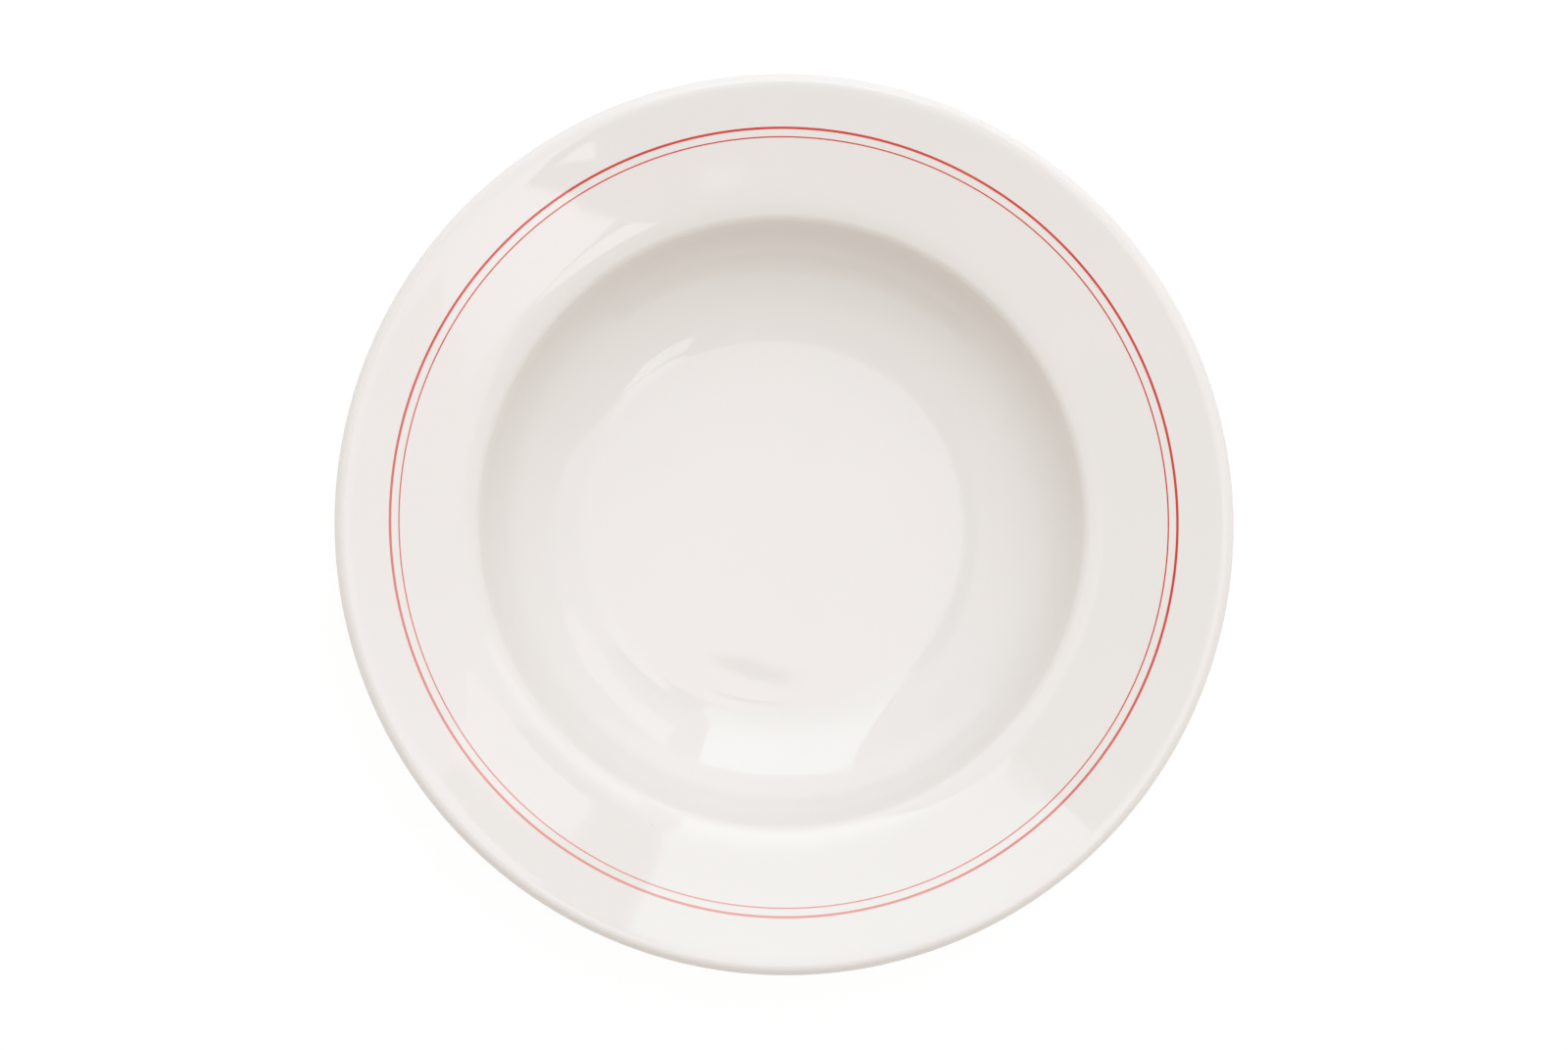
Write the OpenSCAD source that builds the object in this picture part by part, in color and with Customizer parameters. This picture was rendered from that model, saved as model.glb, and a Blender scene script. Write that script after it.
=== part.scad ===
// Rimmed soup plate in glazed porcelain, with two painted red lines on the rim.
// Every piece is one section turned about the upright axis. The origin is the middle of
// the foot ring's resting face, and the plate stands with its mouth up.

/* [Plate] */
// Diameter over the rolled edge, glaze included
plate_d = 240; // [225:1:260]
// Width of the rim, from the lip of the well to the edge
rim_w = 34; // [30:0.5:42]
// Body thickness under the middle of the floor
floor_t = 4.2; // [3.4:0.1:5.5]
// Body thickness in the wall of the well
wall_t = 4; // [3.2:0.1:4.8]

/* [Well] */
// Slope of the floor where it meets its round, degrees
floor_slope = 0.5; // [0.2:0.1:2]
// Width of the round between floor and bowl, seen from above
floor_round_w = 3.5; // [2:0.5:7]
// Slope at the inner end of the bowl, degrees
bowl_slope = 9; // [7:0.5:13]
// Width of the bowl, seen from above
bowl_w = 17; // [13:0.5:22]
// Slope at the belly, where the bowl starts to turn up, degrees
belly_slope = 28; // [22:1:34]
// Width of the turn between the belly and the steep band
turn_w = 9.5; // [6:0.5:12]
// Slope of the steep band under the lip, degrees
band_slope = 70; // [60:1:76]
// Width of the steep band, seen from above
band_w = 1.5; // [1:0.1:3]
// Width of the rounded lip, seen from above
lip_w = 1.6; // [1.2:0.1:3]
// Slope where the lip passes into its softer shoulder, degrees
shoulder_slope = 25; // [18:1:32]
// Width of the shoulder between the lip and the rim
shoulder_w = 3.6; // [2:0.1:6]

/* [Rim] */
// Slope of the rim beside the lip, degrees
rim_inner_slope = 10.5; // [8:0.5:12.5]
// Slope of the rim near the edge, degrees
rim_outer_slope = 13.5; // [12.5:0.5:16]
// Width over which the rim eases off before the rolled edge
ease_w = 1.9; // [1:0.1:4]
// Slope where the rolled edge begins, degrees
ease_slope = 5; // [2:0.5:8]
// Radius of the rolled edge in the body
edge_r = 2.1; // [1.7:0.1:2.6]
// Slope of the back of the rim, degrees
rim_back_slope = 12.2; // [11.5:0.1:13]

/* [Back and foot] */
// Radius of the hollow under the rim, behind the lip
hollow_r = 14; // [9:0.5:18]
// Slope of the back of the bowl, degrees
back_slope = 22; // [18:1:25]
// Radius of the back where the band turns into the bowl
back_turn_r = 20; // [14:1:26]
// How far the foot ring's outside lies inside the lip
foot_in = 26; // [20:0.5:32]
// Width of the foot ring's resting plane before its corners are rounded
foot_w = 4; // [3:0.1:6]
// Height of the foot ring inside, which is the depth of the recess
recess_h = 2.5; // [1.8:0.1:3.5]
// Draft of the foot ring's two sides, degrees from upright
foot_draft = 14; // [6:1:20]
// Radius in the corner between foot ring and back
foot_fillet_r = 3; // [1.5:0.1:4]
// Radius in the corner between foot ring and recess
recess_fillet_r = 1.6; // [0.8:0.1:2.2]
// Radius of the foot ring's two rounded corners
foot_round_r = 0.7; // [0.3:0.1:1]

/* [Glaze] */
// Thickness of the glaze
glaze_t = 0.3; // [0.2:0.05:0.5]
// Height of the foot ring that is wiped free of glaze
bare_h = 0.9; // [0.7:0.1:1.2]

/* [Lines] */
// How far the middle of the outer line lies inside the edge
outer_line_in = 14.8; // [10:0.1:20]
// Width of the outer line
outer_line_w = 0.65; // [0.4:0.05:1.5]
// Distance between the middles of the two lines
line_pitch = 2.35; // [1.5:0.05:5]
// Width of the inner line
inner_line_w = 0.36; // [0.2:0.02:1]
// Depth of both lines, which lie flush in the glaze
line_t = 0.12; // [0.08:0.01:0.16]

/* [Hidden] */

$fn = 180;
arc_step = 5;             // most degrees of turn for each straight of an arc
arc_error = 0.01;         // how far a straight may lie off its arc
same_heading = 0.001;     // headings closer than this, in degrees, make a straight
recess_wall_share = 0.9;

// Headings, in degrees, of a walk round the section: out over the face, round the edge, and
// back in under the plate. The body is always on the right of the walk.
back_in = -180;
foot_down = back_in + 90 - foot_draft;
foot_up = back_in - 90 + foot_draft;

plate_r = plate_d / 2;
body_r = plate_r - glaze_t;
lip_r = plate_r - rim_w;
shoulder_r = lip_r - shoulder_w;
band_top_r = shoulder_r - lip_w;
band_foot_r = band_top_r - band_w;
belly_r = band_foot_r - turn_w;
bowl_r = belly_r - bowl_w;
floor_r = bowl_r - floor_round_w;
crest_r = body_r - edge_r * (1 + sin(ease_slope));
ease_r = crest_r - ease_w;
edge_under_r = body_r - edge_r * (1 - sin(rim_back_slope));
foot_r = lip_r - foot_in;
recess_r = foot_r - foot_w;
outer_line_r = plate_r - outer_line_in;
inner_line_r = outer_line_r - line_pitch;

// Knots of the face, [radius, heading], where one arc or straight ends and the next begins
bowl_knots = [[floor_r, floor_slope], [bowl_r, bowl_slope], [belly_r, belly_slope]];
turn_knots = [[band_foot_r, band_slope]];
lip_knots = [[band_top_r, band_slope], [shoulder_r, shoulder_slope], [lip_r, rim_inner_slope]];
edge_knots = [
    [ease_r, rim_outer_slope],
    [crest_r, ease_slope],
    [body_r - edge_r, 0],
    [body_r, -90],
    [edge_under_r, back_in + rim_back_slope]
];

// Heading of the rim at radius r. Along an arc the sine of the heading grows with the radius.
function rim_heading(r) =
    let (from = sin(rim_inner_slope), to = sin(rim_outer_slope))
    asin(from + (to - from) * (r - lip_r) / (ease_r - lip_r));

function rim_knot(r) = [r, rim_heading(r)];

// How many straights an arc of radius r gets for its turn
function parts(turn, r) =
    ceil(abs(turn) / min(arc_step, 2 * acos(1 - arc_error / max(arc_error, abs(r)))));

// Points [radius, height, heading] after p on the arc that leaves p and turns to heading h
function arc(p, h, r) =
    let (count = parts(h - p.z, r))
    [
        for (i = [1 : count])
            let (now = p.z + (h - p.z) * i / count)
            [p.x + r * (sin(now) - sin(p.z)), p.y + r * (cos(p.z) - cos(now)), now]
    ];

// Points after p as far as knot k: a straight where the heading stays, or else the one arc
// that leaves and arrives on both headings
function stretch(p, k) =
    abs(k.y - p.z) < same_heading
        ? [[k.x, p.y + (k.x - p.x) * tan(p.z), p.z]]
        : arc(p, k.y, (k.x - p.x) / (sin(k.y) - sin(p.z)));

function last(list) = list[len(list) - 1];

// Points after p, from knot to knot
function walk(p, knots, i = 0) =
    i == len(knots)
        ? []
        : let (points = stretch(p, knots[i])) concat(points, walk(last(points), knots, i + 1));

// Where the straights through a and b meet
function meeting(a, b) =
    let (
        across = sin(b.z - a.z),
        along = ((b.x - a.x) * sin(b.z) - (b.y - a.y) * cos(b.z)) / across
    )
    [a.x + along * cos(a.z), a.y + along * sin(a.z), a.z];

// The rounded corner between the straights through a and b
function corner(a, b, r) =
    let (
        tip = meeting(a, b),
        side = b.z > a.z ? 1 : -1,
        cut = r * tan(abs(b.z - a.z) / 2),
        start = [tip.x - cut * cos(a.z), tip.y - cut * sin(a.z), a.z]
    )
    concat([start], arc(start, b.z, side * r));

function place(p) = [p.x, p.y];

function reversed(list) = [for (i = [1 : len(list)]) list[len(list) - i]];

// A fillet's radius, kept small enough to use no more than the given room on each straight
function fitted(r, a, b, room) = min(r, room / tan(abs(b.z - a.z) / 2));

// A point moved outwards from the body by t, square to its heading
function out(p, t) = [p.x - t * sin(p.z), p.y + t * cos(p.z)];

function raised(points, t) = [for (p = points) out(p, t)];

// A point of the face taken through the body to the back, and turned for the walk inwards
function behind(p, t, slope) = [out(p, -t).x, out(p, -t).y, back_in + slope];

// The face of the body, from the middle of the floor to the underside of the edge, in walks
// that end where something else takes hold: the back, or the side of a painted line
middle = [0, recess_h + floor_t, 0];
to_belly = walk(middle, bowl_knots);
to_band = walk(last(to_belly), turn_knots);
to_lines = walk(last(to_band), concat(lip_knots, [rim_knot(inner_line_r - inner_line_w / 2)]));
under_inner = walk(last(to_lines), [rim_knot(inner_line_r + inner_line_w / 2)]);
between = walk(last(under_inner), [rim_knot(outer_line_r - outer_line_w / 2)]);
under_outer = walk(last(between), [rim_knot(outer_line_r + outer_line_w / 2)]);
to_edge = walk(last(under_outer), edge_knots);
face = concat([middle], to_belly, to_band, to_lines, under_inner, between, under_outer, to_edge);

// Straights of the back, from the edge inwards to the middle of the recess
rim_back = last(face);
band_back = behind(last(to_band), wall_t, band_slope);
bowl_back = behind(last(to_belly), wall_t, back_slope);
foot_outside = [foot_r, 0, foot_down];
foot_land = [foot_r, 0, back_in];
foot_inside = [recess_r, 0, foot_up];
recess = [0, recess_h, back_in];

// Where the glaze was wiped off, on both sides of the foot ring
wiped = [0, bare_h, back_in];

// Fillets that share the back of the band take half of it each at the most, and the one in
// the recess ends above the wiped part of the foot ring
half_band = norm(place(meeting(rim_back, band_back)) - place(meeting(bowl_back, band_back))) / 2;
hollow_round_r = fitted(hollow_r, rim_back, band_back, half_band);
back_round_r = fitted(back_turn_r, band_back, bowl_back, half_band);
recess_wall = norm(place(meeting(foot_inside, wiped)) - place(meeting(foot_inside, recess)));
recess_round_r = fitted(recess_fillet_r, foot_inside, recess, recess_wall_share * recess_wall);

glazed_back = concat(
    corner(rim_back, band_back, hollow_round_r),
    corner(band_back, bowl_back, back_round_r),
    corner(bowl_back, foot_outside, foot_fillet_r),
    [meeting(foot_outside, wiped)]
);
bare_foot = concat(
    corner(foot_outside, foot_land, foot_round_r),
    corner(foot_land, foot_inside, foot_round_r)
);
glazed_recess = concat(
    [meeting(foot_inside, wiped)],
    corner(foot_inside, recess, recess_round_r),
    [recess]
);

// Top of the glaze, which steps down under the two lines
sunk_t = glaze_t - line_t;
inner_seat = concat([last(to_lines)], under_inner);
outer_seat = concat([last(between)], under_outer);
glaze_top = concat(
    raised(concat([middle], to_belly, to_band, to_lines), glaze_t),
    raised(inner_seat, sunk_t),
    raised(concat([last(under_inner)], between), glaze_t),
    raised(outer_seat, sunk_t),
    raised(concat([last(under_outer)], to_edge, glazed_back), glaze_t)
);

// The section of a layer that lies between two distances from the body
module layer(points, low, high) {
    polygon(concat(raised(points, high), reversed(raised(points, low))));
}

module porcelain_body() {
    color("#efe9e1")
        rotate_extrude()
            polygon([for (p = concat(face, glazed_back, bare_foot, glazed_recess)) place(p)]);
}

module glaze_coat() {
    color("#f4efe9")
        rotate_extrude()
            polygon(concat(glaze_top, reversed([for (p = concat(face, glazed_back)) place(p)])));
}

module foot_recess_glaze() {
    color("#f2ede7")
        rotate_extrude()
            layer(glazed_recess, 0, glaze_t);
}

module outer_red_line() {
    color("#d3422f")
        rotate_extrude()
            layer(outer_seat, sunk_t, glaze_t);
}

module inner_red_line() {
    color("#d3422f")
        rotate_extrude()
            layer(inner_seat, sunk_t, glaze_t);
}

porcelain_body();
glaze_coat();
foot_recess_glaze();
outer_red_line();
inner_red_line();
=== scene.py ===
# Rimmed soup plate: glazed porcelain with two painted red lines, seen nearly from above.
# Blender units are metres. The plate stands on Z = 0 with its axis on Z, as the frame has it.
import math

import bpy
from mathutils import Matrix, Vector


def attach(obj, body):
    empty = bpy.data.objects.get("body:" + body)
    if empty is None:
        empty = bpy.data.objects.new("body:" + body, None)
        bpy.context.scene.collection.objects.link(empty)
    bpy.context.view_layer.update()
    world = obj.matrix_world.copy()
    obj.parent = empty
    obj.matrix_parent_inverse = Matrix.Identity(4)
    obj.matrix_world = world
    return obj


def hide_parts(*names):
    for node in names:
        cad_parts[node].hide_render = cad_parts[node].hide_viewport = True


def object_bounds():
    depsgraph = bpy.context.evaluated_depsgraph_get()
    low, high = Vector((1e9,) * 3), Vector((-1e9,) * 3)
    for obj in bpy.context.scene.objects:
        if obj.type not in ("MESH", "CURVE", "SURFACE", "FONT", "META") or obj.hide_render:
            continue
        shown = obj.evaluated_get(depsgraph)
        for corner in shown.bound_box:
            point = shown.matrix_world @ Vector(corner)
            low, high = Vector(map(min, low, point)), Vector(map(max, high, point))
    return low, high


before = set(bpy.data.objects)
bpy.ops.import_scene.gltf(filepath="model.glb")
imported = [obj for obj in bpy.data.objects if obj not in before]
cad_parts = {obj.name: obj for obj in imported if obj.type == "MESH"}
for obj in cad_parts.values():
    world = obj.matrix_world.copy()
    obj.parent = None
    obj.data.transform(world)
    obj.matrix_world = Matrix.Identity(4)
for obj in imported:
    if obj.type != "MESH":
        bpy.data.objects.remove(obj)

cadLow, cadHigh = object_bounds()
mm = 0.001

# The driving sizes of the section, in millimetres and degrees
plate = {
    "diameter": 240.0,
    "rimWidth": 34.0,
    "floorThickness": 4.2,
    "wallThickness": 4.0,
    "floorSlope": 0.5,
    "floorRoundWidth": 3.5,
    "bowlSlope": 9.0,
    "bowlWidth": 17.0,
    "bellySlope": 28.0,
    "turnWidth": 9.5,
    "bandSlope": 70.0,
    "bandWidth": 1.5,
    "lipWidth": 1.6,
    "shoulderSlope": 25.0,
    "shoulderWidth": 3.6,
    "rimInnerSlope": 10.5,
    "rimOuterSlope": 13.5,
    "easeWidth": 1.9,
    "easeSlope": 5.0,
    "edgeRadius": 2.1,
    "rimBackSlope": 12.2,
    "hollowRadius": 14.0,
    "backSlope": 22.0,
    "backTurnRadius": 20.0,
    "footIn": 26.0,
    "footWidth": 4.0,
    "recessHeight": 2.5,
    "footDraft": 14.0,
    "footFilletRadius": 3.0,
    "recessFilletRadius": 1.6,
    "footRoundRadius": 0.7,
    "glazeThickness": 0.3,
    "bareHeight": 0.9,
    "arcStep": 4.0,         # most degrees of turn between two points of an arc
    "spacing": 2.5,         # most millimetres between two points
}

# What turning and firing leave: a slow wave of the whole plate, a well that isn't quite centred
# in the rim, and a lip that has opened a little. All of it fades out towards the foot. Sizes are
# in millimetres.
firing = {
    "segments": 384,        # round the axis
    "waveHeight": 0.05,
    "waveSize": 30.0,
    "offCentre": (-0.38, 0.15, 0.0),
    "offStart": 88.0,       # radii between which the plate comes back to its own centre
    "offEnd": 102.0,
    "lipRadius": 83.5,
    "lipReach": 6.5,        # to each side of the lip
    "lipSwell": 0.8,
    "lipOff": (-0.5, 0.1, 0.0),
    "fadeHeight": 6.0,      # height over the table from which all this has its full size
    "seed": 4,
    "sharpAngle": 30.0,     # degrees past which an edge of the mesh stays sharp
    "weldDistance": 0.001,  # points closer together than this become one
}

# Millimetres
redLines = {
    "outerIn": 14.8,        # from the plate's edge to the middle of the line
    "outerWidth": 0.65,
    "pitch": 2.35,
    "innerWidth": 0.36,
    "proud": 0.02,          # above the glaze
    "sunk": 0.1,            # below its top
    "stray": 0.05,          # how far the brush strays to each side
    "strayScale": 4.0,      # how often on its way round
    "offCentre": (-0.28, 0.45, 0.0),
}

# How finely each noise breaks up
noiseDetail = {
    "brush": 2.0,
    "wave": 1.0,
    "unevenness": 1.0,
    "cloud": 2.0,
    "smear": 3.0,
    "scuff": 4.0,
    "stroke": 3.0,
}
noiseMiddle = 0.5


def sine(degrees):
    return math.sin(math.radians(degrees))


def cosine(degrees):
    return math.cos(math.radians(degrees))


def tangent(degrees):
    return math.tan(math.radians(degrees))


# A point of the section is (radius, height, heading), in millimetres and degrees. The walk goes
# out over the face, round the edge and back in under the plate, with the body on its right.
backIn = -180.0


def arc(p, heading, radius):
    turn = heading - p[2]
    length = abs(math.radians(turn) * radius)
    count = max(1, math.ceil(abs(turn) / plate["arcStep"]), math.ceil(length / plate["spacing"]))
    headings = [p[2] + turn * (i + 1) / count for i in range(count)]
    return [(p[0] + radius * (sine(h) - sine(p[2])), p[1] + radius * (cosine(p[2]) - cosine(h)), h)
            for h in headings]


def straight(p, radius):
    count = max(1, math.ceil(abs(radius - p[0]) / plate["spacing"]))
    steps = [(radius - p[0]) * (i + 1) / count for i in range(count)]
    return [(p[0] + step, p[1] + step * tangent(p[2]), p[2]) for step in steps]


def walk(p, knots):
    points = [p]
    for radius, heading in knots:
        here = points[-1]
        if heading == here[2]:
            points += straight(here, radius)
        else:
            points += arc(here, heading, (radius - here[0]) / (sine(heading) - sine(here[2])))
    return points


def meeting(a, b):
    along = ((b[0] - a[0]) * sine(b[2]) - (b[1] - a[1]) * cosine(b[2])) / sine(b[2] - a[2])
    return (a[0] + along * cosine(a[2]), a[1] + along * sine(a[2]), a[2])


def corner(a, b, radius):
    tip = meeting(a, b)
    cut = radius * tangent(abs(b[2] - a[2]) / 2)
    start = (tip[0] - cut * cosine(a[2]), tip[1] - cut * sine(a[2]), a[2])
    return [start] + arc(start, b[2], math.copysign(radius, b[2] - a[2]))


# The points moved away from the body, square to their headings
def raised(points, distance):
    return [(p[0] - distance * sine(p[2]), p[1] + distance * cosine(p[2])) for p in points]


def behind(p, slope):
    return (*raised([p], -plate["wallThickness"])[0], backIn + slope)


# The outline of the body in four stretches, with the two ends of the rim's arc
def bodyOutline():
    plateRadius = plate["diameter"] / 2
    bodyRadius = plateRadius - plate["glazeThickness"]
    lipRadius = plateRadius - plate["rimWidth"]
    shoulder = lipRadius - plate["shoulderWidth"]
    bandTop = shoulder - plate["lipWidth"]
    bandFoot = bandTop - plate["bandWidth"]
    belly = bandFoot - plate["turnWidth"]
    bowl = belly - plate["bowlWidth"]
    crest = bodyRadius - plate["edgeRadius"] * (1 + sine(plate["easeSlope"]))
    ease = crest - plate["easeWidth"]
    edgeUnder = bodyRadius - plate["edgeRadius"] * (1 - sine(plate["rimBackSlope"]))

    toBelly = walk((0.0, plate["recessHeight"] + plate["floorThickness"], 0.0), [
        (bowl - plate["floorRoundWidth"], plate["floorSlope"]),
        (bowl, plate["bowlSlope"]),
        (belly, plate["bellySlope"]),
    ])
    toBand = walk(toBelly[-1], [(bandFoot, plate["bandSlope"])])
    toLip = walk(toBand[-1], [
        (bandTop, plate["bandSlope"]),
        (shoulder, plate["shoulderSlope"]),
        (lipRadius, plate["rimInnerSlope"]),
    ])
    toEdge = walk(toLip[-1], [
        (ease, plate["rimOuterSlope"]),
        (crest, plate["easeSlope"]),
        (bodyRadius - plate["edgeRadius"], 0.0),
        (bodyRadius, -90.0),
        (edgeUnder, backIn + plate["rimBackSlope"]),
    ])

    footRadius = lipRadius - plate["footIn"]
    outside = (footRadius, 0.0, backIn + 90 - plate["footDraft"])
    land = (footRadius, 0.0, backIn)
    inside = (footRadius - plate["footWidth"], 0.0, backIn - 90 + plate["footDraft"])
    recess = (0.0, plate["recessHeight"], backIn)
    wiped = (0.0, plate["bareHeight"], backIn)
    bandBack = behind(toBand[-1], plate["bandSlope"])
    bowlBack = behind(toBelly[-1], plate["backSlope"])
    halfBand = math.dist(meeting(toEdge[-1], bandBack)[:2], meeting(bowlBack, bandBack)[:2]) / 2

    def fitted(radius, a, b):
        return min(radius, halfBand / tangent(abs(b[2] - a[2]) / 2))

    recessCorner = corner(inside, recess, plate["recessFilletRadius"])
    return {
        "face": toBelly + toBand[1:] + toLip[1:] + toEdge[1:],
        "back": corner(toEdge[-1], bandBack, fitted(plate["hollowRadius"], toEdge[-1], bandBack))
        + corner(bandBack, bowlBack, fitted(plate["backTurnRadius"], bandBack, bowlBack))
        + corner(bowlBack, outside, plate["footFilletRadius"])
        + [meeting(outside, wiped)],
        "foot": corner(outside, land, plate["footRoundRadius"])
        + corner(land, inside, plate["footRoundRadius"]),
        "recess": [meeting(inside, wiped)] + recessCorner + straight(recessCorner[-1], 0.0),
        "rimStart": toLip[-1],
        "rimEnd": (ease, plate["rimOuterSlope"]),
    }


# The stretch of the rim's arc that a painted line covers
def paintedStretch(outline, middle, width):
    start, (endRadius, endSlope) = outline["rimStart"], outline["rimEnd"]

    def slope(radius):
        share = (radius - start[0]) / (endRadius - start[0])
        return math.degrees(math.asin(sine(start[2]) + (sine(endSlope) - sine(start[2])) * share))

    inner, outer = middle - width / 2, middle + width / 2
    return walk(walk(start, [(inner, slope(inner))])[-1], [(outer, slope(outer))])


# A closed layer between two distances from the body
def layer(points, low, high):
    loop = raised(points, high) + raised(points, low)[::-1]
    return loop + loop[:1]


# Gives a socket its value, or a link if the value is another socket
def feed(tree, socket, value):
    if isinstance(value, bpy.types.NodeSocket):
        tree.links.new(value, socket)
    else:
        socket.default_value = value


# A node with its settings, then its inputs by name, where an underscore stands for a space
def place(tree, kind, settings, **inputs):
    node = tree.nodes.new(kind)
    for key, value in settings.items():
        setattr(node, key, value)
    for key, value in inputs.items():
        socket = next(s for s in node.inputs if s.enabled and s.name == key.replace("_", " "))
        feed(tree, socket, value)
    return node


def result(node):
    return next(s for s in node.outputs if s.enabled)


# The result of a node with an operation, which takes its inputs in their order
def operate(tree, kind, operation, *values):
    node = place(tree, kind, {"operation": operation})
    for socket, value in zip([s for s in node.inputs if s.enabled], values):
        feed(tree, socket, value)
    return result(node)


def calc(tree, operation, *values):
    return operate(tree, "ShaderNodeMath", operation, *values)


def vector(tree, operation, *values):
    return operate(tree, "ShaderNodeVectorMath", operation, *values)


def noiseTexture(tree, detail, dimensions="3D", **inputs):
    noise = place(tree, "ShaderNodeTexNoise", {"noise_dimensions": dimensions},
                  Detail=noiseDetail[detail], **inputs)
    return noise.outputs[0]


def mixedColour(tree, share, a, b):
    return result(place(tree, "ShaderNodeMix", {"data_type": "RGBA"}, Factor=share, A=a, B=b))


def remapped(tree, value, span, ends, interpolation="LINEAR"):
    return place(tree, "ShaderNodeMapRange", {"interpolation_type": interpolation}, Value=value,
                 From_Min=span[0], From_Max=span[1], To_Min=ends[0], To_Max=ends[1]).outputs[0]


# Turns a section about Z. Each point of a grid finds its section point and its turn by its index.
def turnedSectionTree():
    tree = bpy.data.node_groups.new("turned section", "GeometryNodeTree")
    tree.interface.new_socket("Geometry", in_out="OUTPUT", socket_type="NodeSocketGeometry")
    for name, kind in {
        "Section": "NodeSocketGeometry",
        "Segments": "NodeSocketInt",
        "Wave Height": "NodeSocketFloat",
        "Wave Size": "NodeSocketFloat",
        "Off Centre": "NodeSocketVector",
        "Off Start": "NodeSocketFloat",
        "Off End": "NodeSocketFloat",
        "Lip Radius": "NodeSocketFloat",
        "Lip Reach": "NodeSocketFloat",
        "Lip Swell": "NodeSocketFloat",
        "Lip Off": "NodeSocketVector",
        "Fade Height": "NodeSocketFloat",
        "Sharp Angle": "NodeSocketFloat",
        "Seed": "NodeSocketFloat",
        "Slope": "NodeSocketVector",
        "Stray": "NodeSocketFloat",
        "Painted Off": "NodeSocketVector",
        "Material": "NodeSocketMaterial",
    }.items():
        tree.interface.new_socket(name, in_out="INPUT", socket_type=kind)
    given = tree.nodes.new("NodeGroupInput").outputs
    out = tree.nodes.new("NodeGroupOutput").inputs

    def whole(operation, a, b):
        return operate(tree, "FunctionNodeIntegerMath", operation, a, b)

    def scaled(a, b):
        return vector(tree, "SCALE", a, b)

    def summed(a, b):
        return vector(tree, "ADD", a, b)

    size = place(tree, "GeometryNodeAttributeDomainSize", {"component": "MESH"},
                 Geometry=given["Section"])
    columns = whole("ADD", given["Segments"], 1)
    grid = place(tree, "GeometryNodeMeshGrid", {}, Vertices_X=size.outputs["Point Count"],
                 Vertices_Y=columns)
    index = tree.nodes.new("GeometryNodeInputIndex").outputs[0]
    row = whole("DIVIDE_FLOOR", index, columns)
    column = whole("MODULO", whole("MODULO", index, columns), given["Segments"])
    turn = calc(tree, "MULTIPLY", calc(tree, "DIVIDE", column, given["Segments"]), math.tau)

    position = tree.nodes.new("GeometryNodeInputPosition").outputs[0]
    sample = place(tree, "GeometryNodeSampleIndex",
                   {"data_type": "FLOAT_VECTOR", "domain": "POINT"},
                   Geometry=given["Section"], Value=position, Index=row)
    around = place(tree, "ShaderNodeCombineXYZ", {}, X=calc(tree, "COSINE", turn),
                   Y=calc(tree, "SINE", turn))
    brush = noiseTexture(tree, "brush", "4D", Vector=around.outputs[0], W=given["Seed"],
                         Scale=redLines["strayScale"])
    stray = calc(tree, "MULTIPLY", given["Stray"], calc(tree, "SUBTRACT", brush, noiseMiddle))
    off = vector(tree, "DOT_PRODUCT", around.outputs[0], given["Painted Off"])
    slid = scaled(given["Slope"], calc(tree, "ADD", stray, off))
    turned = place(tree, "ShaderNodeVectorRotate", {"rotation_type": "Z_AXIS"},
                   Vector=summed(result(sample), slid), Angle=turn).outputs[0]

    apart = place(tree, "ShaderNodeSeparateXYZ", {}, Vector=turned).outputs
    flat = place(tree, "ShaderNodeCombineXYZ", {}, X=apart["X"], Y=apart["Y"]).outputs[0]
    wave = noiseTexture(tree, "wave", "4D", Vector=flat, W=given["Seed"],
                        Scale=calc(tree, "DIVIDE", 1.0, given["Wave Size"]))
    fade = calc(tree, "MINIMUM", calc(tree, "DIVIDE", apart["Z"], given["Fade Height"]), 1.0)
    sink = calc(tree, "MULTIPLY", calc(tree, "MULTIPLY", wave, fade), given["Wave Height"])
    drop = place(tree, "ShaderNodeCombineXYZ", {}, Z=calc(tree, "MULTIPLY", sink, -1.0))
    waved = summed(turned, drop.outputs[0])

    radius = vector(tree, "LENGTH", flat)
    within = remapped(tree, radius, (given["Off Start"], given["Off End"]), (1.0, 0.0))
    pastLip = calc(tree, "ABSOLUTE", calc(tree, "SUBTRACT", radius, given["Lip Radius"]))
    lip = remapped(tree, pastLip, (0.0, given["Lip Reach"]), (1.0, 0.0), "SMOOTHSTEP")
    opened = summed(scaled(vector(tree, "NORMALIZE", flat), given["Lip Swell"]), given["Lip Off"])
    aside = summed(scaled(given["Off Centre"], within), scaled(opened, lip))
    shifted = summed(waved, scaled(aside, fade))

    surface = place(tree, "GeometryNodeSetPosition", {}, Geometry=grid.outputs["Mesh"],
                    Position=shifted)
    merged = place(tree, "GeometryNodeMergeByDistance", {}, Geometry=surface.outputs[0],
                   Distance=firing["weldDistance"] * mm)
    smooth = place(tree, "GeometryNodeSetShadeSmooth", {"domain": "FACE"},
                   Geometry=merged.outputs[0])
    edgeAngle = tree.nodes.new("GeometryNodeInputMeshEdgeAngle").outputs["Unsigned Angle"]
    creased = calc(tree, "GREATER_THAN", edgeAngle, given["Sharp Angle"])
    sharp = place(tree, "GeometryNodeSetShadeSmooth", {"domain": "EDGE"},
                  Geometry=smooth.outputs[0], Selection=creased, Shade_Smooth=False)
    real = place(tree, "GeometryNodeRealizeInstances", {}, Geometry=sharp.outputs[0])
    finished = place(tree, "GeometryNodeSetMaterial", {}, Geometry=real.outputs[0],
                     Material=given["Material"])
    tree.links.new(finished.outputs[0], out[0])
    return tree


def newObject(name, data):
    thing = bpy.data.objects.new(name, data)
    bpy.context.scene.collection.objects.link(thing)
    return thing


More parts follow.
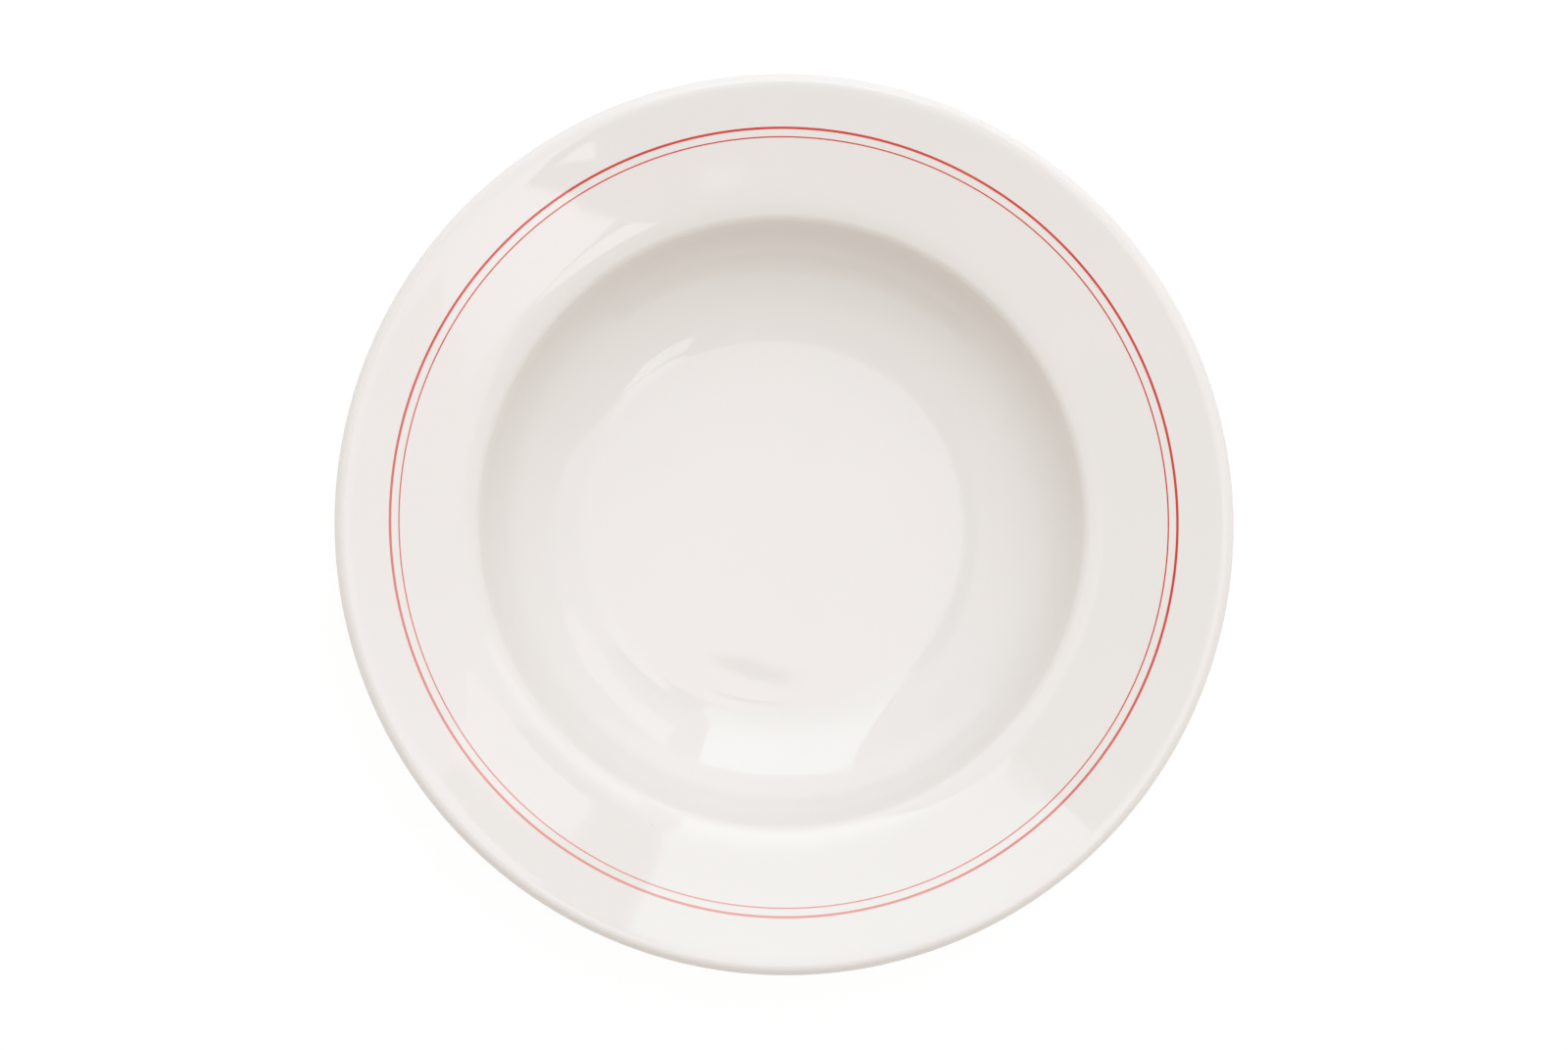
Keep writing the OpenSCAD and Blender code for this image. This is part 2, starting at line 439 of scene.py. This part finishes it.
def turnedPiece(name, section, material, tree, **painted):
    profile = bpy.data.meshes.new(name + "Section")
    points = [(p[0] * mm, 0.0, p[1] * mm) for p in section]
    profile.from_pydata(points, [(i, i + 1) for i in range(len(points) - 1)], [])
    piece = newObject(name, profile)
    modifier = piece.modifiers.new("turned section", "NODES")
    modifier.node_group = tree
    identifiers = {item.name: item.identifier for item in tree.interface.items_tree}
    for key, value in {
        "Segments": firing["segments"],
        "Wave Height": firing["waveHeight"] * mm,
        "Wave Size": firing["waveSize"] * mm,
        "Off Centre": tuple(distance * mm for distance in firing["offCentre"]),
        "Off Start": firing["offStart"] * mm,
        "Off End": firing["offEnd"] * mm,
        "Lip Radius": firing["lipRadius"] * mm,
        "Lip Reach": firing["lipReach"] * mm,
        "Lip Swell": firing["lipSwell"] * mm,
        "Lip Off": tuple(distance * mm for distance in firing["lipOff"]),
        "Fade Height": firing["fadeHeight"] * mm,
        "Sharp Angle": math.radians(firing["sharpAngle"]),
        "Seed": float(firing["seed"]),
        "Material": material,
        **painted,
    }.items():
        modifier[identifiers[key]] = value
    bpy.context.view_layer.update()
    turned = piece.evaluated_get(bpy.context.evaluated_depsgraph_get())
    solid = bpy.data.meshes.new_from_object(turned)
    piece.modifiers.clear()
    piece.data = solid
    bpy.data.meshes.remove(profile)
    solid.name = name
    triangles = sum(len(face.vertices) - 2 for face in solid.polygons)
    print(f"{name}: {len(section)} section points, {triangles} triangles")
    return piece


# Finishes. Sizes are in metres and colours are linear.
glaze = {
    "colour": (0.82, 0.785, 0.748, 1.0),
    "cloudColour": (0.8, 0.768, 0.733, 1.0),
    "cloudSize": 0.04,
    "speckColour": (0.6, 0.55, 0.5, 1.0),
    "speckSize": 0.0004,
    "speckSpacing": 0.03,
    "roughness": 0.02,
    "smearRoughness": 0.04,
    "smearSize": 0.03,
    "smearFrom": 0.4,       # shares of the noise between which the glaze turns duller
    "smearTo": 0.7,
    "peelSize": 0.004,
    "peelHeight": 0.0000005,
    "swellSize": 0.015,
    "swellHeight": 0.000002,
    "ior": 1.5,
}
biscuit = {
    "colour": (0.74, 0.69, 0.62, 1.0),
    "cloudColour": (0.7, 0.65, 0.58, 1.0),
    "cloudSize": 0.01,
    "speckColour": (0.3, 0.26, 0.22, 1.0),
    "speckSize": 0.0003,
    "speckSpacing": 0.003,
    "rubbedColour": (0.4, 0.38, 0.36, 1.0),
    "rubbedHeight": 0.0004,
    "rubbedShare": 0.6,
    "roughness": 0.65,
    "grainSize": 0.0004,
    "coarseGrainSize": 0.0016,
    "grainHeight": 0.00001,
}
paint = {
    "colour": (0.6, 0.02, 0.012, 1.0),
    "thinColour": (0.66, 0.08, 0.05, 1.0),
    "strokeSize": 0.006,
    "paleColour": (0.8, 0.42, 0.38, 1.0),
    "paleSide": (-0.34, -0.94, 0.0),    # the side towards which the lines turn paler
    "paleFrom": -0.02,                  # metres towards that side
    "paleTo": 0.105,
    "paleShare": 0.8,
}


def newGroup(name, inputs, outputs):
    group = bpy.data.node_groups.new(name, "ShaderNodeTree")
    kinds = {"colour": "NodeSocketColor", "value": "NodeSocketFloat", "vector": "NodeSocketVector"}
    for sockets, side in ((inputs, "INPUT"), (outputs, "OUTPUT")):
        for label, kind in sockets.items():
            group.interface.new_socket(label, in_out=side, socket_type=kinds[kind])
    given, out = group.nodes.new("NodeGroupInput"), group.nodes.new("NodeGroupOutput")
    return group, given.outputs, out.inputs


# Two soft scales of unevenness in a fired surface, put out as a height in metres
def unevennessGroup():
    group, given, out = newGroup("fired unevenness", {
        "Vector": "vector", "Fine Size": "value", "Fine Height": "value",
        "Broad Size": "value", "Broad Height": "value",
    }, {"Height": "value"})
    heights = []
    for scale in ("Fine", "Broad"):
        noise = noiseTexture(group, "unevenness", Vector=given["Vector"],
                             Scale=calc(group, "DIVIDE", 1.0, given[scale + " Size"]))
        heights.append(calc(group, "MULTIPLY", noise, given[scale + " Height"]))
    group.links.new(calc(group, "ADD", *heights), out["Height"])
    return group


# Faint clouds and a few fired-in specks in a pale ceramic colour
def toneGroup():
    group, given, out = newGroup("ceramic tone", {
        "Vector": "vector", "Colour": "colour", "Cloud Colour": "colour", "Cloud Size": "value",
        "Speck Colour": "colour", "Speck Size": "value", "Speck Spacing": "value",
    }, {"Colour": "colour"})
    cloud = noiseTexture(group, "cloud", Vector=given["Vector"],
                         Scale=calc(group, "DIVIDE", 1.0, given["Cloud Size"]))
    clouded = mixedColour(group, cloud, given["Colour"], given["Cloud Colour"])
    cells = place(group, "ShaderNodeTexVoronoi", {}, Vector=given["Vector"],
                  Scale=calc(group, "DIVIDE", 1.0, given["Speck Spacing"]))
    width = calc(group, "DIVIDE", given["Speck Size"], given["Speck Spacing"])
    inside = calc(group, "LESS_THAN", cells.outputs["Distance"], calc(group, "DIVIDE", width, 2.0))
    specked = mixedColour(group, inside, clouded, given["Speck Colour"])
    group.links.new(specked, out["Colour"])
    return group


def newMaterial(name):
    material = bpy.data.materials.new(name)
    material.use_nodes = True
    tree = material.node_tree
    where = tree.nodes.new("ShaderNodeTexCoord").outputs["Object"]
    return material, tree, tree.nodes["Principled BSDF"], where


def useGroup(tree, group, **inputs):
    return place(tree, "ShaderNodeGroup", {"node_tree": group}, **inputs)


def ceramicColour(tree, tone, where, finish):
    toned = useGroup(tree, tone, Vector=where, Colour=finish["colour"],
                     Cloud_Colour=finish["cloudColour"], Cloud_Size=finish["cloudSize"],
                     Speck_Colour=finish["speckColour"], Speck_Size=finish["speckSize"],
                     Speck_Spacing=finish["speckSpacing"])
    return toned.outputs["Colour"]


# A Bump node's normal for two scales of unevenness
def unevenNormal(tree, unevenness, where, fine, broad):
    height = useGroup(tree, unevenness, Vector=where, Fine_Size=fine[0], Fine_Height=fine[1],
                      Broad_Size=broad[0], Broad_Height=broad[1]).outputs["Height"]
    bump = place(tree, "ShaderNodeBump", {}, Strength=1.0, Distance=1.0, Height=height)
    return bump.outputs["Normal"]


def glazeNormal(tree, unevenness, where):
    return unevenNormal(tree, unevenness, where, (glaze["peelSize"], glaze["peelHeight"]),
                        (glaze["swellSize"], glaze["swellHeight"]))


def glazeMaterial(unevenness, tone):
    material, tree, shader, where = newMaterial("clear glaze on porcelain")
    tree.links.new(ceramicColour(tree, tone, where, glaze), shader.inputs["Base Color"])
    smear = noiseTexture(tree, "smear", Vector=where, Scale=1 / glaze["smearSize"])
    roughness = remapped(tree, smear, (glaze["smearFrom"], glaze["smearTo"]),
                         (glaze["roughness"], glaze["smearRoughness"]))
    tree.links.new(roughness, shader.inputs["Roughness"])
    shader.inputs["IOR"].default_value = glaze["ior"]
    tree.links.new(glazeNormal(tree, unevenness, where), shader.inputs["Normal"])
    return material


def biscuitMaterial(unevenness, tone):
    material, tree, shader, where = newMaterial("bare fired porcelain")
    height = place(tree, "ShaderNodeSeparateXYZ", {}, Vector=where).outputs["Z"]
    rubbed = remapped(tree, height, (0.0, biscuit["rubbedHeight"]), (biscuit["rubbedShare"], 0.0))
    scuff = noiseTexture(tree, "scuff", Vector=where, Scale=1 / biscuit["cloudSize"])
    worn = mixedColour(tree, calc(tree, "MULTIPLY", rubbed, scuff),
                       ceramicColour(tree, tone, where, biscuit), biscuit["rubbedColour"])
    tree.links.new(worn, shader.inputs["Base Color"])
    shader.inputs["Roughness"].default_value = biscuit["roughness"]
    grain = unevenNormal(tree, unevenness, where, (biscuit["grainSize"], biscuit["grainHeight"]),
                         (biscuit["coarseGrainSize"], biscuit["grainHeight"]))
    tree.links.new(grain, shader.inputs["Normal"])
    return material


def paintMaterial(unevenness):
    material, tree, shader, where = newMaterial("red ceramic colour")
    stroke = noiseTexture(tree, "stroke", Vector=where, Scale=1 / paint["strokeSize"])
    colour = mixedColour(tree, stroke, paint["colour"], paint["thinColour"])
    pale = remapped(tree, vector(tree, "DOT_PRODUCT", where, paint["paleSide"]),
                    (paint["paleFrom"], paint["paleTo"]), (0.0, paint["paleShare"]))
    tree.links.new(mixedColour(tree, pale, colour, paint["paleColour"]),
                   shader.inputs["Base Color"])
    shader.inputs["Roughness"].default_value = glaze["roughness"]
    shader.inputs["IOR"].default_value = glaze["ior"]
    tree.links.new(glazeNormal(tree, unevenness, where), shader.inputs["Normal"])
    return material


def seat(piece, node):
    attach(piece, "root")
    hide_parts(node)


def buildPlate():
    outline = bodyOutline()
    tree = turnedSectionTree()
    unevenness, tone = unevennessGroup(), toneGroup()
    glazed = glazeMaterial(unevenness, tone)
    bare = biscuitMaterial(unevenness, tone)
    red = paintMaterial(unevenness)
    face, back, foot, recess = (outline[name] for name in ("face", "back", "foot", "recess"))
    thickness = plate["glazeThickness"]

    seat(turnedPiece("porcelainBody", face + back + foot + recess, bare, tree),
         "porcelain_body")
    coat = face + back
    hidden = coat[::2] + coat[-1:]  # against the body every second point is enough
    coatSection = raised(coat, thickness) + raised(hidden, 0.0)[::-1]
    seat(turnedPiece("glazeCoat", coatSection, glazed, tree), "glaze_coat")
    recessSection = raised(recess, 0.0)[::-1] + raised(recess, thickness)
    recessGlaze = turnedPiece("recessGlaze", recessSection, glazed, tree)
    seat(recessGlaze, "foot_recess_glaze")

    outerMiddle = plate["diameter"] / 2 - redLines["outerIn"]
    for name, node, middle, width in (
        ("outerRedLine", "outer_red_line", outerMiddle, redLines["outerWidth"]),
        ("innerRedLine", "inner_red_line", outerMiddle - redLines["pitch"], redLines["innerWidth"]),
    ):
        stretch = paintedStretch(outline, middle, width)
        section = layer(stretch, thickness - redLines["sunk"], thickness + redLines["proud"])
        painted = {
            "Slope": (cosine(stretch[0][2]), 0.0, sine(stretch[0][2])),
            "Stray": 2 * redLines["stray"] * mm,
            "Painted Off": tuple(distance * mm for distance in redLines["offCentre"]),
        }
        seat(turnedPiece(name, section, red, tree, **painted), node)


# The studio, in metres. A light's glow is its radiance, where 1 is what a white surface shows.
studio = {
    "tableSize": 8.0,
    "tableColour": (0.8, 0.8, 0.8, 1.0),
    "tableShown": (0.12, 0.12, 0.12, 1.0),
    "tableGlow": 0.91,
    "roomGlow": (0.89, 0.849, 0.877, 1.0),
    "backdrop": (1.0, 1.0, 1.0, 1.0),   # the room as the camera sees it
}
# Glowing sheets: the corners of each on its own plane, in metres, and its glow. A rise is two
# distances along the plane's second axis and the factor by which the glow grows between them.
noRise = (0.0, 1.0, 1.0)
overhead = {"middle": (0.0, 0.0, 1.5), "axes": ((1.0, 0.0, 0.0), (0.0, 1.0, 0.0))}
wallCorners = ((-2.2, 0.02), (2.2, 0.02), (2.2, 2.0), (-2.2, 2.0))
acrossRoom = {"axes": ((1.0, 0.0, 0.0), (0.0, 0.0, 1.0)), "corners": wallCorners}
alongRoom = {"axes": ((0.0, 1.0, 0.0), (0.0, 0.0, 1.0)), "corners": wallCorners}
boards = {
    "softbox": {
        "middle": (0.067, 0.564, 1.426), "axes": ((0.998, -0.048, 0.044), (0.058, 0.332, -0.942)),
        "corners": ((0.243, 0.74), (0.229, 0.34), (0.226, 0.07), (0.25, -0.1), (0.24, -0.22),
                    (0.22, -0.38), (0.211, -0.64), (0.155, -0.79), (-0.15, -0.79),
                    (-0.197, -0.544), (-0.19, -0.382), (-0.285, -0.34), (-0.225, -0.232),
                    (-0.243, 0.077), (-0.241, 0.415), (-0.236, 0.74)),
        "glow": (1.489, 1.883, 1.882), "rise": (-0.25, 0.2, 1.5),
    },
    "overheadBoard": {
        **overhead, "glow": (1.835, 1.768, 1.92), "rise": (-0.06, -0.25, 1.55),
        "corners": ((0.0, -0.02), (0.12, -0.03), (0.19, -0.1), (0.27, -0.19), (0.305, -0.235),
                    (0.305, -0.262), (0.42, -0.272), (0.5, -0.255), (0.515, 0.1), (0.5, 0.345),
                    (0.42, 0.41), (0.375, 0.435), (0.33, 0.37), (0.24, 0.225), (0.17, 0.2),
                    (0.0, 0.2)),
    },
    "outerBoard": {
        **overhead, "glow": (1.207, 1.159, 1.278), "rise": (0.15, -0.15, 1.4),
        "corners": ((0.5, -0.255), (0.6, -0.225), (0.95, -0.16), (1.25, 0.2), (1.2, 0.45),
                    (0.95, 0.38), (0.75, 0.5), (0.56, 0.42), (0.5, 0.345), (0.515, 0.1)),
    },
    "nearBoard": {
        **overhead, "glow": (2.675, 2.638, 2.737),
        "corners": ((0.335, -0.305), (0.335, -0.32), (0.37, -0.47), (0.43, -0.47), (0.54, -0.4),
                    (0.56, -0.26), (0.5, -0.27), (0.42, -0.288)),
    },
    "leftBoard": {
        **overhead, "glow": (1.129, 1.07, 1.069),
        "corners": ((-0.36, 0.8), (-0.36, -0.2), (-0.2, -0.42), (0.3, -0.5), (0.36, -0.5),
                    (0.45, -0.75), (-0.3, -0.9), (-1.1, -0.7), (-1.1, 0.8)),
    },
    "leftCard": {
        **overhead, "glow": (0.283, 0.282, 0.288), "rise": (0.2, -0.1, 2.6),
        "corners": ((-0.12, -0.1), (-0.1, 0.28), (-0.14, 0.36), (-0.2, 0.42), (-0.33, 0.42),
                    (-0.35, 0.2), (-0.33, -0.1)),
    },
    "rightCard": {
        **overhead, "glow": (0.458, 0.458, 0.459),
        "corners": ((0.2, 0.25), (0.235, 0.232), (0.325, 0.375), (0.37, 0.445), (0.42, 0.42),
                    (0.5, 0.355), (0.56, 0.43), (0.6, 0.5), (0.45, 0.58), (0.34, 0.56),
                    (0.31, 0.5), (0.27, 0.43)),
    },
    "darkCard": {
        **overhead, "middle": (0.0, 0.0, 1.49), "glow": (0.2, 0.2, 0.2),
        "corners": ((0.087, 0.017), (0.096, 0.012), (0.107, 0.008), (0.125, 0.005), (0.136, 0.008),
                    (0.116, 0.016), (0.101, 0.019)),
    },
    "smallBoard": {
        **overhead, "glow": (1.6, 1.55, 1.6),
        "corners": ((0.175, -0.27), (0.175, -0.32), (0.23, -0.315), (0.212, -0.268)),
    },
    "farBoard": {
        **overhead, "glow": (1.725, 1.651, 1.757),
        "corners": ((0.95, 0.4), (1.2, 0.5), (1.27, 0.9), (1.07, 1.2), (1.0, 1.7), (0.58, 0.92),
                    (0.75, 0.75), (0.77, 0.52)),
    },
    "farWall": {**acrossRoom, "middle": (0.0, 2.2, 0.0), "glow": (1.289, 1.269, 1.38)},
    "nearWall": {**acrossRoom, "middle": (0.0, -2.2, 0.0), "glow": (0.387, 0.359, 0.251)},
    "leftWall": {**alongRoom, "middle": (-2.2, 0.0, 0.0), "glow": (0.795, 0.75, 0.676)},
    "rightWall": {**alongRoom, "middle": (2.2, 0.0, 0.0), "glow": (0.962, 0.918, 0.851)},
}
view = {
    "lens": 103.79,         # millimetres
    "distance": 1.2,        # metres from the point aimed at
    "aimedAt": (-0.0012, -0.00083),     # metres from the axis, at the height of the rim
    "left": 4.8,            # degrees that the camera stands to the left of straight above
    "near": 3.0,            # and towards the near side
}


# An emptied material with its tree and the socket that takes its surface
def emptyMaterial(name):
    material = bpy.data.materials.new(name)
    material.use_nodes = True
    tree = material.node_tree
    tree.nodes.clear()
    return material, tree, tree.nodes.new("ShaderNodeOutputMaterial").inputs["Surface"]


def seenByCamera(tree):
    return tree.nodes.new("ShaderNodeLightPath").outputs["Is Camera Ray"]


# Camera, glossy and transmission rays meet the pale backdrop, and all others the real table
def seenDirectly(tree):
    path = tree.nodes.new("ShaderNodeLightPath").outputs
    seen = calc(tree, "MAXIMUM", path["Is Camera Ray"], path["Is Glossy Ray"])
    return calc(tree, "MAXIMUM", seen, path["Is Transmission Ray"])


def joinedShaders(tree, node, *shaders):
    sockets = [socket for socket in node.inputs if socket.type == "SHADER"]
    for socket, shader in zip(sockets, shaders):
        tree.links.new(shader.outputs[0], socket)
    return node


def tableMaterial():
    material, tree, surface = emptyMaterial("white table")
    table = place(tree, "ShaderNodeBsdfDiffuse", {}, Color=studio["tableColour"])
    shade = place(tree, "ShaderNodeBsdfDiffuse", {}, Color=studio["tableShown"])
    glow = place(tree, "ShaderNodeEmission", {}, Strength=studio["tableGlow"])
    backdrop = joinedShaders(tree, place(tree, "ShaderNodeAddShader", {}), shade, glow)
    mix = place(tree, "ShaderNodeMixShader", {}, Fac=seenDirectly(tree))
    tree.links.new(joinedShaders(tree, mix, table, backdrop).outputs[0], surface)
    return material


def buildStudio():
    half = studio["tableSize"] / 2
    mesh = bpy.data.meshes.new("table")
    corners = [(-half, -half, 0), (half, -half, 0), (half, half, 0), (-half, half, 0)]
    mesh.from_pydata(corners, [], [(0, 1, 2, 3)])
    mesh.materials.append(tableMaterial())
    table = newObject("table", mesh)

    world = bpy.data.worlds.new("studio")
    bpy.context.scene.world = world
    world.use_nodes = True
    tree = world.node_tree
    room = mixedColour(tree, seenByCamera(tree), studio["roomGlow"], studio["backdrop"])
    tree.links.new(room, tree.nodes["Background"].inputs["Color"])


# Puts a thing at a point with its own X, Y and Z along three directions
def stand(thing, point, *directions):
    turn = Matrix(directions).transposed()
    thing.matrix_world = Matrix.Translation(point) @ turn.to_4x4()


def boardMaterial(name, glow, rise):
    material, tree, surface = emptyMaterial(name)
    start, end, growth = rise
    where = tree.nodes.new("ShaderNodeTexCoord").outputs["Object"]
    distance = place(tree, "ShaderNodeSeparateXYZ", {}, Vector=where).outputs["Y"]
    gain = remapped(tree, distance, (start, end), (1.0, growth))
    light = place(tree, "ShaderNodeEmission", {}, Color=(*glow, 1.0), Strength=gain)
    tree.links.new(light.outputs[0], surface)
    return material


def buildBoards():
    for name, board in boards.items():
        corners = [(x, y, 0.0) for x, y in board["corners"]]
        mesh = bpy.data.meshes.new(name)
        mesh.from_pydata(corners, [], [tuple(range(len(corners)))])
        mesh.materials.append(boardMaterial(name, board["glow"], board.get("rise", noRise)))
        thing = newObject(name, mesh)
        across, along = map(Vector, board["axes"])
        stand(thing, board["middle"], across, along, across.cross(along))
        thing.visible_camera = False


def buildCamera():
    data = bpy.data.cameras.new("camera")
    data.lens = view["lens"]
    thing = newObject("camera", data)
    rim = Vector((*view["aimedAt"], cadHigh[2]))
    away = Vector((-tangent(view["left"]), -tangent(view["near"]), 1.0)).normalized()
    right = Vector((0.0, 1.0, 0.0)).cross(away).normalized()
    stand(thing, rim + away * view["distance"], right, away.cross(right), away)
    bpy.context.scene.camera = thing


buildPlate()
print("plate is built")
buildStudio()
buildBoards()
buildCamera()
bpy.context.scene.view_settings.view_transform = "Standard"
print("studio is ready")
